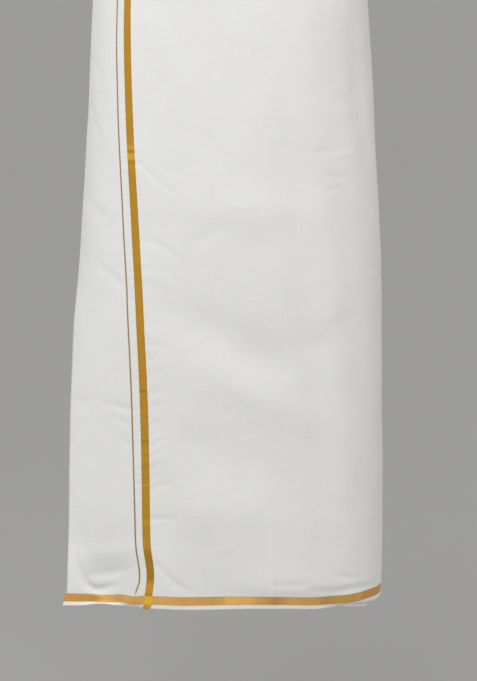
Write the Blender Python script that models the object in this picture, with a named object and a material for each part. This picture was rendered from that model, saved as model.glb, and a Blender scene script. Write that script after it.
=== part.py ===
"""A worn dhoti: one long cotton cloth wound round the waist and left to fall to the ankles.

Units are metres, +Z is up and the front faces -Y. The origin is the middle of the waist, at the
height where the cloth is held up. The cloth starts at its free end at the front left, crosses the
front to the right, goes round the back and runs under the front again.
A place on the cloth is (along, drop): metres along the winding from the free end, and metres down
from the waist. The cloth is never stretched along the winding, so its length is the same at every
height, though the waist is narrower than the hem.
"""

import math
from collections import namedtuple

import bpy
import numpy as np

MM = 0.001

# The cut of the cloth and how far it hangs
CLOTH_LENGTH = 1.800
HEM_DROP = 0.970
WALL = 1.2 * MM
SEAM_GAP = 0.3 * MM

# Distance from the free end to the middle of the woven band that shows at the front left
BAND_ALONG = 0.111
# Before this place the free end leaves the turn beneath and swings out
SWING_ALONG = 0.150

# Each turn lies this far inside the one before, at the waist and at the hem
TURN_GAP_WAIST = 3.2 * MM
TURN_GAP_HEM = 4.6 * MM

# The winding in stretches, divided where the flat front and back turn into the round sides. Each
# has the turn angle where it starts and ends, in degrees, and its columns of quads. None is the
# cloth's own end.
Stretch = namedtuple("Stretch", "name start end columns")
STRETCHES = [
    Stretch("free_end", None, -135, 11),
    Stretch("front_panel", -135, -45, 24),
    Stretch("right_side", -45, 45, 15),
    Stretch("back_panel", 45, 135, 22),
    Stretch("left_side", 135, 225, 15),
    Stretch("under_front", 225, 315, 14),
    Stretch("under_right", 315, 405, 13),
    Stretch("inner_end", 405, None, 14),
]
# Rows of quads down from the waist. The stretches share them, so that they meet squarely.
ROWS = 24
# Rows lie closer together towards the hem by this share, because the folds there are smaller
ROW_CROWDING = 0.35

# Plan of the outer turn at each drop, in millimetres from the middle: its reach to the left,
# right, front and back, its squareness (2 is an ellipse), how far left of the middle the woven
# band runs, and the share of the plan's curve that the free end keeps
Section = namedtuple("Section", "drop left right front back square band curl")
SECTIONS = [
    Section(-30, 161, 161.0, 110, 100, 2.10, 124.0, 1.00),
    Section(0, 163, 163.0, 112, 103, 2.10, 125.5, 1.00),
    Section(80, 175, 175.0, 117, 121, 2.15, 130.5, 1.00),
    Section(160, 182, 183.0, 117, 133, 2.25, 134.0, 1.00),
    Section(240, 187, 188.2, 115, 131, 2.30, 134.0, 1.00),
    Section(330, 192, 193.3, 113, 124, 2.35, 131.5, 1.00),
    Section(430, 198, 198.3, 111, 118, 2.40, 126.8, 0.99),
    Section(540, 203, 203.2, 109, 113, 2.45, 121.4, 0.90),
    Section(595, 204, 204.4, 108, 111, 2.48, 118.9, 0.76),
    Section(650, 205, 205.4, 107, 109, 2.50, 116.7, 0.67),
    Section(760, 205, 206.3, 106, 106, 2.55, 113.9, 0.52),
    Section(870, 205, 207.1, 106, 104, 2.60, 112.6, 0.37),
    Section(970, 205, 207.2, 106, 103, 2.60, 111.5, 0.18),
    Section(1000, 205, 207.2, 106, 103, 2.60, 111.5, 0.18),
]

# The largest soft folds, in millimetres. Each is a ridge (or a trough, where rise is negative) at a
# place on the cloth, with its half length, its half width, its turn from upright in degrees, its
# rise, and the share of that rise that presses through to the turn beneath.
Fold = namedtuple("Fold", "along drop half_length half_width turn rise beneath")
FOLDS = [
    # the free corner is drawn in above the hem, and its end stands out as a flange
    Fold(52, 945, 60, 30, 0, -8.0, 0.0),
    Fold(30, 880, 60, 10, -14, -3.5, 0.0),
    Fold(66, 870, 60, 16, 62, 2.5, 0.0),
    # the hem stands forward just right of the band
    Fold(140, 945, 70, 24, 0, 4.0, 0.4),
    # the front's right edge, where it turns away to the side
    Fold(335, 620, 330, 18, 3, -2.0, 0.6),
    Fold(372, 600, 340, 20, 3, 2.5, 0.6),
    # the stiff border tips in at the lower right
    Fold(330, 942, 90, 9, 88, -1.5, 0.8),
    # long falls down the back, from the seat almost to the hem
    Fold(600, 660, 260, 30, 3, 5.0, 1.0),
    Fold(668, 700, 260, 26, 1, -5.0, 1.0),
    Fold(738, 640, 300, 34, -2, -4.0, 1.0),
    Fold(812, 700, 250, 28, -3, 5.0, 1.0),
    Fold(890, 690, 250, 30, -2, -4.0, 1.0),
]

# How much lower than HEM_DROP the hem hangs, in millimetres, at places along the winding
HemPoint = namedtuple("HemPoint", "along lower")
HEM_LINE = [
    HemPoint(0, 1.1),
    HemPoint(20, 1.2),
    HemPoint(35, 0.2),
    HemPoint(60, -2.0),
    HemPoint(88, -2.5),
    HemPoint(113, 1.4),
    HemPoint(130, 0.5),
    HemPoint(250, 0.5),
    HemPoint(316, 1.5),
    HemPoint(344, 3.2),
    HemPoint(358, 2.2),
    HemPoint(372, 0.3),
    HemPoint(402, 0.2),
    HemPoint(434, 0.2),
    HemPoint(453, -2.6),
    HemPoint(480, -3.0),
    HemPoint(600, 0.0),
    HemPoint(800, -1.5),
    HemPoint(1000, -0.5),
    HemPoint(1130, -7.0),
    HemPoint(1330, -3.0),
    HemPoint(1394, 1.5),
    HemPoint(1415, 5.0),
    HemPoint(1436, 4.5),
    HemPoint(1461, 2.0),
    HemPoint(1490, 0.5),
    HemPoint(1530, -2.0),
    HemPoint(1600, -4.0),
    HemPoint(1800, -8.0),
]

# Rolled waist, as a profile in millimetres: out from the outer turn, and up from the waist.
# It sits on the cloth's top edge and hooks down outside it, as cloth does when it is rolled out.
ROLL_STATIONS = 64
Roll = namedtuple("Roll", "out up")
ROLL_PROFILE = [
    Roll(1.1, 0.3),
    Roll(1.1, -18.0),
    Roll(3.5, -22.0),
    Roll(7.0, -23.5),
    Roll(10.5, -20.5),
    Roll(12.6, -13.0),
    Roll(13.2, -3.0),
    Roll(12.6, 7.0),
    Roll(10.5, 14.5),
    Roll(6.5, 19.0),
    Roll(1.5, 20.0),
    Roll(-3.0, 16.5),
    Roll(-4.6, 9.0),
    Roll(-4.6, 0.3),
]
# Points further out than this belong to the roll's outer side, which is thinner at the back
ROLL_SEAT = 2.0
ROLL_BACK_SHARE = 0.72

# The turn angle of the winding: -180 is the left, -90 the front, 0 the right and 90 the back.
# It runs on past 180 for the turns beneath.
TURN_START = -260
TURN_END = 700
TURN_STEPS = 3840
# Half the step along the cloth that its direction is measured over
SIDE_STEP = 1.0 * MM

COTTON = (0.86, 0.86, 0.84, 1.0)
COTTON_ROUGHNESS = 0.85


def smooth(rows, key, value, at):
    """Reads a table's column at any place, with a smooth cubic through its rows."""
    x = np.array([getattr(row, key) for row in rows], float) * MM
    y = np.array([getattr(row, value) for row in rows], float)
    slope = np.gradient(y, x)
    at = np.clip(np.asarray(at, float), x[0], x[-1])
    i = np.clip(np.searchsorted(x, at) - 1, 0, len(x) - 2)
    step = x[i + 1] - x[i]
    t = (at - x[i]) / step
    rise = t * t * (3 - 2 * t)
    start_slope = step * slope[i] * t * (1 - t) ** 2
    end_slope = step * slope[i + 1] * t * t * (1 - t)
    return y[i] * (1 - rise) + y[i + 1] * rise + start_slope - end_slope


def body_plan(drop):
    """The plan of the worn form at one drop, for all the turns: turn angle, x, y and heading.

    Each quarter is a superellipse between two reaches of SECTIONS.
    """
    left, right, front, back = (
        float(smooth(SECTIONS, "drop", side, drop)) * MM for side in ("left", "right", "front", "back")
    )
    power = 2 / float(smooth(SECTIONS, "drop", "square", drop))
    turn = np.radians(np.linspace(TURN_START, TURN_END, TURN_STEPS + 1))
    c, s = np.cos(turn), np.sin(turn)
    x = np.where(c > 0, right, left) * np.sign(c) * np.abs(c) ** power
    y = np.where(s > 0, back, front) * np.sign(s) * np.abs(s) ** power
    heading = np.unwrap(np.arctan2(np.gradient(y), np.gradient(x)))
    return turn, x, y, heading


def winding(drop):
    """The winding's plan at one drop: places along the cloth, and x, y and heading there.

    The turns are moved in as they build up, and the place is set where the woven band runs.
    """
    turn, x, y, heading = body_plan(drop)
    down = np.clip(drop / HEM_DROP, 0, 1)
    gap = TURN_GAP_WAIST + (TURN_GAP_HEM - TURN_GAP_WAIST) * down
    inset = gap * (turn + math.pi) / (2 * math.pi)
    x, y = x - inset * np.sin(heading), y + inset * np.cos(heading)
    path = np.concatenate([[0], np.cumsum(np.hypot(np.diff(x), np.diff(y)))])
    front = (turn > -math.pi) & (turn < -math.pi / 2)
    band = -float(smooth(SECTIONS, "drop", "band", drop)) * MM
    path += BAND_ALONG - np.interp(band, x[front], path[front])
    return path, x, y, heading


def place_outside(along, drop):
    """The places that the same plan angle reaches on the turn outside, one lap before."""
    turn = body_plan(drop)[0]
    path = winding(drop)[0]
    return np.interp(np.interp(along, path, turn) - 2 * math.pi, turn, path)


def plan(along, drop):
    """Points of the bare winding at one drop: its turns, then the free end, which swings out.

    Before SWING_ALONG the free end's heading turns with only a share of the plan's curve, and its
    points are summed up from that heading, so the cloth keeps its length.
    """
    path, x, y, heading = winding(drop)
    points = np.stack([np.interp(along, path, x), np.interp(along, path, y)], axis=1)
    curl = float(smooth(SECTIONS, "drop", "curl", drop))
    fine, step = np.linspace(SWING_ALONG, 0, 301, retstep=True)
    swing = np.interp(fine, path, heading)
    swing = swing[0] + curl * (swing - swing[0])
    middle = (swing[1:] + swing[:-1]) / 2
    swing_x = np.interp(SWING_ALONG, path, x) + step * np.concatenate([[0], np.cumsum(np.cos(middle))])
    swing_y = np.interp(SWING_ALONG, path, y) + step * np.concatenate([[0], np.cumsum(np.sin(middle))])
    free = along < SWING_ALONG
    points[free, 0] = np.interp(along[free], fine[::-1], swing_x[::-1])
    points[free, 1] = np.interp(along[free], fine[::-1], swing_y[::-1])
    return points


def fold_rise(along, outside, drops):
    """How far the folds lift each place off the bare winding: a sum of long soft bells.

    What lies beneath a fold of the turn outside is lifted too, by the share that presses through.
    """
    total = np.zeros_like(drops)
    for fold in FOLDS:
        c, s = math.cos(math.radians(fold.turn)), math.sin(math.radians(fold.turn))
        d = drops / MM - fold.drop
        for place, share in ((along, 1.0), (outside, fold.beneath)):
            a = place / MM - fold.along
            lengthwise = (d * c + a * s) / fold.half_length
            across = (a * c - d * s) / fold.half_width
            total += share * fold.rise * MM * np.exp(-(lengthwise**2 + across**2))
    return total


def seam_place(turn_degrees, side, drop):
    """Where along the cloth a stretch ends at one drop: half a gap from the seam at that angle."""
    turn = body_plan(drop)[0]
    return np.interp(math.radians(turn_degrees), turn, winding(drop)[0]) + side * SEAM_GAP / 2


def cloth_points(stretch, rows):
    """A grid of points on one stretch of the cloth, waist to hem, between two upright seams.

    Each row's plan is read at one level, and the hem's line then moves its points up or down.
    """
    share = np.linspace(0, 1, rows + 1)
    share = (1 + ROW_CROWDING) * share - ROW_CROWDING * share**2
    levels = share * HEM_DROP
    start = [0.0 if stretch.start is None else seam_place(stretch.start, 1, z) for z in levels]
    end = [CLOTH_LENGTH if stretch.end is None else seam_place(stretch.end, -1, z) for z in levels]
    along = np.linspace(start, end, stretch.columns + 1, axis=1)
    drops = levels[:, None] + share[:, None] * smooth(HEM_LINE, "along", "lower", along) * MM
    points = np.empty(along.shape + (3,))
    points[..., :2] = [plan(row, z) for row, z in zip(along, levels)]
    points[..., 2] = -drops
    # a short step to each side gives neighbouring stretches the same direction at their seam
    across = np.zeros_like(points)
    across[..., :2] = [plan(row + SIDE_STEP, z) - plan(row - SIDE_STEP, z) for row, z in zip(along, levels)]
    outward = np.cross(np.gradient(points, axis=0), across)
    outward /= np.linalg.norm(outward, axis=2, keepdims=True)
    outside = np.array([place_outside(row, z) for row, z in zip(along, levels)])
    return points + outward * fold_rise(along, outside, drops)[..., None]


def make_material(name, color, roughness):
    """A plain shaded material."""
    material = bpy.data.materials.new(name)
    material.use_nodes = True
    shader = material.node_tree.nodes["Principled BSDF"]
    shader.inputs["Base Color"].default_value = color
    shader.inputs["Roughness"].default_value = roughness
    shader.inputs["Metallic"].default_value = 0.0
    material.diffuse_color = color
    return material


def make_object(name, points, faces, material):
    """A smooth-shaded mesh object of the given points and faces."""
    mesh = bpy.data.meshes.new(name)
    mesh.from_pydata(points.reshape(-1, 3).tolist(), [], faces)
    mesh.shade_smooth()
    mesh.materials.append(material)
    obj = bpy.data.objects.new(name, mesh)
    bpy.context.scene.collection.objects.link(obj)
    return obj


def make_stretch(stretch, material):
    """One stretch of the cloth: a sheet of quads with a wall's thickness."""
    points = cloth_points(stretch, ROWS)
    columns = stretch.columns
    wide = columns + 1
    faces = [
        (r * wide + c, (r + 1) * wide + c, (r + 1) * wide + c + 1, r * wide + c + 1)
        for r in range(ROWS)
        for c in range(columns)
    ]
    sheet = make_object(stretch.name, points, faces, material)
    wall = sheet.modifiers.new("Wall", "SOLIDIFY")
    wall.thickness = WALL
    wall.offset = 0.0
    wall.use_even_offset = False
    wall.use_rim = True
    return sheet


def make_waist_roll(material):
    """The rolled waist: ROLL_PROFILE carried once round, beside the cloth's outer turn."""
    turn, x, y, _ = body_plan(0.0)
    path = np.concatenate([[0], np.cumsum(np.hypot(np.diff(x), np.diff(y)))])
    first, last = np.interp((-math.pi, math.pi), turn, path)
    at = np.linspace(first, last, ROLL_STATIONS + 1)[:-1]
    angle = np.interp(at, path, turn)
    backward = np.clip(np.interp(at, path, y) / y.max(), 0, 1)
    fullness = 1 - (1 - ROLL_BACK_SHARE) * backward
    points = np.empty((ROLL_STATIONS, len(ROLL_PROFILE), 3))
    for p, place in enumerate(ROLL_PROFILE):
        _, x, y, heading = body_plan(max(0.0, -place.up * MM))
        facing = np.interp(angle, turn, heading)
        out = place.out * MM * np.where(place.out > ROLL_SEAT, fullness, 1)
        points[:, p, 0] = np.interp(angle, turn, x) + out * np.sin(facing)
        points[:, p, 1] = np.interp(angle, turn, y) - out * np.cos(facing)
        points[:, p, 2] = place.up * MM
    count = len(ROLL_PROFILE)
    faces = []
    for s in range(ROLL_STATIONS):
        t = (s + 1) % ROLL_STATIONS
        for p in range(count):
            q = (p + 1) % count
            faces.append((s * count + p, t * count + p, t * count + q, s * count + q))
    return make_object("waist_roll", points, faces, material)


def main():
    """Clears the scene and makes the stretches of the cloth and the rolled waist."""
    for obj in list(bpy.data.objects):
        bpy.data.objects.remove(obj, do_unlink=True)
    cotton = make_material("white_cotton", COTTON, COTTON_ROUGHNESS)
    for stretch in STRETCHES:
        make_stretch(stretch, cotton)
    make_waist_roll(cotton)


main()
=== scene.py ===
# %% [markdown]
# # A dhoti, wound and worn
#
# A dhoti is one long white cotton cloth with gold bands woven along its edge and near its ends. It is
# wound round the waist, its top is rolled outwards to hold it, and the rest falls to the ankles.
# Nothing is cut or sewn, so the whole thing can be built as one sheet that follows a winding path.
# This lesson loads the plain solids first, works out that path with numpy, lays the folds and creases
# on it, and then weaves the cloth in its material.

import math
from collections import namedtuple

import bpy
import numpy as np
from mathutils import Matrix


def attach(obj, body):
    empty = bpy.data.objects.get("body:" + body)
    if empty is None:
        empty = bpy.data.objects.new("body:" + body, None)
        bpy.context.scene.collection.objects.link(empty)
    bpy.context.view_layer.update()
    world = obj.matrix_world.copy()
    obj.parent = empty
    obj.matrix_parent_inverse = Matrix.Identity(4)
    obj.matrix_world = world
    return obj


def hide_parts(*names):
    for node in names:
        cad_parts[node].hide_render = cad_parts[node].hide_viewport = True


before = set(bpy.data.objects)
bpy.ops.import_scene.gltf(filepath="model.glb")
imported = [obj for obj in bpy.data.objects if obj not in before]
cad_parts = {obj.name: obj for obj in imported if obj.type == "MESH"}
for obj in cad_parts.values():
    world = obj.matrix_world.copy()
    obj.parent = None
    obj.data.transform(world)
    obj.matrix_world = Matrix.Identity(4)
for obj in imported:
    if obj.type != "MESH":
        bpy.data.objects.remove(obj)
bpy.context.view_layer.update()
MM = 0.001
print("nodes:", sorted(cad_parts))

# %% [markdown]
# ## The camera
#
# The photograph was taken from a long way off with a long lens, a little above the waist and looking
# slightly down, so the hem shows as a shallow curve. One pixel is 1.35 mm at the middle of the cloth.
# A lens and a distance follow from that scale, and the aim follows from where the hem and the middle
# of the cloth lie in the picture.

# %% Place the camera
PHOTO_HEIGHT = 681
PIXEL = 1.35 * MM
VIEW_DISTANCE = 4.85
VIEW_DOWN = math.radians(8.7)
AIM = (0.0101, 0.0, -0.6233)
FILM = 36.0


def make_camera():
    """Looks at AIM from VIEW_DISTANCE, tilted down; the lens is film * distance / height of view."""
    data = bpy.data.cameras.new("camera")
    data.sensor_width = FILM
    data.lens = FILM * VIEW_DISTANCE / (PHOTO_HEIGHT * PIXEL)
    camera = bpy.data.objects.new("camera", data)
    bpy.context.scene.collection.objects.link(camera)
    camera.location = (
        AIM[0],
        AIM[1] - VIEW_DISTANCE * math.cos(VIEW_DOWN),
        AIM[2] + VIEW_DISTANCE * math.sin(VIEW_DOWN),
    )
    camera.rotation_euler = (math.pi / 2 - VIEW_DOWN, 0, 0)
    bpy.context.scene.camera = camera
    return camera


camera = make_camera()
print("lens in mm:", round(camera.data.lens, 1))

# %% [markdown]
# ## The path of the cloth
#
# Seen from above, the cloth runs from its free end at the front left across the front, round the right
# side and the back, and in under the front again. Each turn lies a little inside the one before. The
# plan changes from a rounded waist to a broad, flat-fronted hem, so it is given at a few heights as
# how far it reaches each way, and how square it is, and read smoothly in between.
#
# A place on the cloth has two numbers: `along`, the distance from the free end, and `drop`, the
# distance down from the waist. Cloth doesn't stretch, so `along` is measured as a true length at
# every height, and the woven band fixes where it starts.

# %% Sizes of the cloth and the plan that it is wound on
CLOTH_LENGTH = 1.800
HEM_DROP = 0.970
BAND_ALONG = 0.111
SWING_ALONG = 0.150
SWING_STEPS = 300
TURN_GAP_WAIST = 3.2 * MM
TURN_GAP_HEM = 4.6 * MM

Section = namedtuple("Section", "drop left right front back square band curl")
SECTIONS = [
    Section(-30, 161, 161.0, 110, 100, 2.10, 124.0, 1.00),
    Section(0, 163, 163.0, 112, 103, 2.10, 125.5, 1.00),
    Section(80, 176.5, 175.0, 117, 121, 2.15, 131.2, 1.00),
    Section(160, 183.6, 183.0, 117, 133, 2.25, 135.0, 1.00),
    Section(240, 188.8, 188.2, 115, 131, 2.30, 135.1, 1.00),
    Section(330, 193.2, 193.5, 113, 124, 2.35, 132.7, 1.00),
    Section(430, 198.8, 199.0, 111, 118, 2.40, 128.0, 0.99),
    Section(540, 204, 203.9, 109, 113, 2.45, 122.1, 0.90),
    Section(595, 204, 205.1, 108, 111, 2.48, 119.5, 0.76),
    Section(650, 205, 206.2, 107, 109, 2.50, 117.0, 0.67),
    Section(760, 205, 206.9, 106, 106, 2.55, 114.0, 0.52),
    Section(870, 205, 207.1, 106, 104, 2.60, 112.6, 0.37),
    Section(970, 205, 207.2, 106, 103, 2.60, 111.5, 0.18),
    Section(1000, 205, 207.2, 106, 103, 2.60, 111.5, 0.18),
]

# The hem hangs this much lower than HEM_DROP, in millimetres, at places along the winding
HemPoint = namedtuple("HemPoint", "along lower")
HEM_LINE = [
    HemPoint(*row)
    for row in (
        (0, 2.9), (19, 2.9), (34, 3.1), (43, 3.9), (50, 4.0), (62, 3.2), (72, 1.7), (80, 1.9), (92, 3.2),
        (104, 2.3), (120, 1.6), (135, 1.3), (148, 1.9), (168, 2.6), (222, 2.0), (276, 2.0), (303, 2.9),
        (320, 4.0), (345, 4.8), (360, 4.4), (391, 3.9), (401, 3.2), (418, 1.6), (432, 1.1), (448, 0.4),
        (481, 0.0), (600, 0.0), (800, -1.5), (1000, -0.5), (1130, -7.0), (1330, -3.0), (1394, 2.4),
        (1415, 6.1), (1436, 7.2), (1461, 5.0), (1490, 0.5), (1530, -2.0), (1600, -4.0), (1800, -8.0),
    )
]
print("the cloth is", CLOTH_LENGTH, "m long and hangs", HEM_DROP, "m")


# %% Follow the winding
def smooth(rows, key, value, at):
    """A table's column at any place: a cubic between rows that leaves each at its own slope."""
    x = np.array([getattr(row, key) for row in rows], float) * MM
    y = np.array([getattr(row, value) for row in rows], float)
    slope = np.gradient(y, x)
    at = np.clip(np.asarray(at, float), x[0], x[-1])
    i = np.clip(np.searchsorted(x, at) - 1, 0, len(x) - 2)
    step = x[i + 1] - x[i]
    t = (at - x[i]) / step
    rise = t * t * (3 - 2 * t)
    start_slope = step * slope[i] * t * (1 - t) ** 2
    end_slope = step * slope[i + 1] * t * t * (1 - t)
    return y[i] * (1 - rise) + y[i + 1] * rise + start_slope - end_slope


# Angles round the plan, from before the free end to past the inner end, a quarter of a degree apart
TURN = np.radians(np.linspace(-260, 700, 3841))


def body_plan(drop):
    """x, y and heading of the plan at one drop, for every angle in TURN.

    x = reach * cos^p and y = reach * sin^p with the signs kept, and p = 2 / squareness, which is a
    superellipse; each side has its own reach.
    """
    left, right, front, back = (
        float(smooth(SECTIONS, "drop", side, drop)) * MM for side in ("left", "right", "front", "back")
    )
    power = 2 / float(smooth(SECTIONS, "drop", "square", drop))
    c, s = np.cos(TURN), np.sin(TURN)
    x = np.where(c > 0, right, left) * np.sign(c) * np.abs(c) ** power
    y = np.where(s > 0, back, front) * np.sign(s) * np.abs(s) ** power
    heading = np.unwrap(np.arctan2(np.gradient(y), np.gradient(x)))
    return x, y, heading


def winding(drop):
    """Places along the cloth, and x, y and heading there.

    Each point of the plan is moved in by the turn gap times the number of turns behind it, and the
    lengths between the points are added up, starting so that the band lies where it should.
    """
    x, y, heading = body_plan(drop)
    gap = TURN_GAP_WAIST + (TURN_GAP_HEM - TURN_GAP_WAIST) * np.clip(drop / HEM_DROP, 0, 1)
    inset = gap * (TURN + math.pi) / (2 * math.pi)
    x, y = x - inset * np.sin(heading), y + inset * np.cos(heading)
    path = np.concatenate([[0], np.cumsum(np.hypot(np.diff(x), np.diff(y)))])
    front = (TURN > -math.pi) & (TURN < -math.pi / 2)
    band = -float(smooth(SECTIONS, "drop", "band", drop)) * MM
    path += BAND_ALONG - np.interp(band, x[front], path[front])
    return path, x, y, heading


def plan(along, drop):
    """Points on the bare winding, with the free end swung out.

    Before SWING_ALONG the heading keeps only a share of its turn, and the points are the running
    sum of short steps along that heading, so the length stays true.
    """
    path, x, y, heading = winding(drop)
    points = np.stack([np.interp(along, path, x), np.interp(along, path, y)], axis=1)
    curl = float(smooth(SECTIONS, "drop", "curl", drop))
    fine, step = np.linspace(SWING_ALONG, 0, SWING_STEPS + 1, retstep=True)
    swing = np.interp(fine, path, heading)
    swing = swing[0] + curl * (swing - swing[0])
    middle = (swing[1:] + swing[:-1]) / 2
    swing_x = np.interp(SWING_ALONG, path, x) + step * np.concatenate([[0], np.cumsum(np.cos(middle))])
    swing_y = np.interp(SWING_ALONG, path, y) + step * np.concatenate([[0], np.cumsum(np.sin(middle))])
    free = along < SWING_ALONG
    points[free, 0] = np.interp(along[free], fine[::-1], swing_x[::-1])
    points[free, 1] = np.interp(along[free], fine[::-1], swing_y[::-1])
    return points


def place_outside(along, drop):
    """The place on the turn outside that has the same plan angle: one whole angle back."""
    path = winding(drop)[0]
    return np.interp(np.interp(along, path, TURN) - 2 * math.pi, TURN, path)


inner_place = np.array([1.5])
one_turn = float((inner_place - place_outside(inner_place, HEM_DROP))[0])
print("one turn takes", round(one_turn, 3), "m at the hem")

# %% [markdown]
# ## Folds and creases
#
# Starched cotton hangs almost flat, so every fold is shallow and each one matters. They could come from
# a cloth simulation, but a simulation would crumple the crisp front and lose the few marks that the
# real cloth has. Here each one is given instead, as a long soft bell: how far along and down
# the cloth it lies, how long and wide it is, how it leans, how its middle bows, and how far it rises.
# The hidden back and sides get folds of the same kind, because the same cloth falls there.

# %% Large folds, in millimetres and degrees, with the share that the turn beneath takes
Fold = namedtuple("Fold", "along drop half_length half_width turn rise beneath")
LARGE_FOLDS = [
    # the free corner is drawn in above the hem, below a soft ridge that rises to the right
    Fold(52, 945, 60, 30, 0, -8.0, 0.0),
    Fold(20, 884, 46, 11, 16, -1.2, 0.0),
    Fold(54, 899, 46, 12, 102, 1.5, 0.0),
    # higher up, the free edge lies against the turn beneath
    Fold(0, 190, 300, 16, 0, -2.2, 0.0),
    # the hem stands forward just right of the band
    Fold(140, 945, 70, 24, 0, 4.0, 0.4),
    # a broad hollow down the middle of the front
    Fold(196, 560, 420, 64, 0, -3.5, 1.0),
    # the front's right edge, where it turns away
    Fold(335, 620, 330, 18, 3, -2.0, 0.6),
    Fold(372, 600, 340, 20, 3, 2.5, 0.6),
    # broad soft waves that cross the front, each leaning down to the right
    Fold(275, 434, 78, 27, 88, 2.5, 1.0),
    Fold(218, 600, 100, 27, 62, -2.9, 1.0),
    Fold(332, 618, 60, 26, 100, -2.0, 1.0),
    Fold(262, 682, 98, 28, 64, 3.2, 1.0),
    Fold(208, 758, 88, 32, 70, -2.3, 1.0),
    Fold(208, 842, 80, 30, 84, 2.5, 1.0),
    Fold(200, 958, 60, 32, 90, -2.2, 1.0),
    Fold(302, 950, 40, 38, 90, 2.6, 1.0),
    # long falls down the back
    Fold(600, 660, 260, 30, 3, 5.0, 1.0),
    Fold(668, 700, 260, 26, 1, -5.0, 1.0),
    Fold(738, 640, 300, 34, -2, -4.0, 1.0),
    Fold(812, 700, 250, 28, -3, 5.0, 1.0),
    Fold(890, 690, 250, 30, -2, -4.0, 1.0),
]

# %% [markdown]
# A crease seldom runs straight. Each one on the front is written as a trail: a few places that it
# passes through, with how far it rises or sinks at each, so that it can bend, branch and fade. Light
# comes from above, so a trough shows as a dark line with a light line under it, and a ridge the other
# way round.

# %% Trails: half width, then places along and down the cloth with the rise at each, in millimetres
Trail = namedtuple("Trail", "half_width path")


def through(half_width, *path):
    """A trail of one half width through places given as (along, drop, rise)."""
    return Trail(half_width, path)


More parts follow.
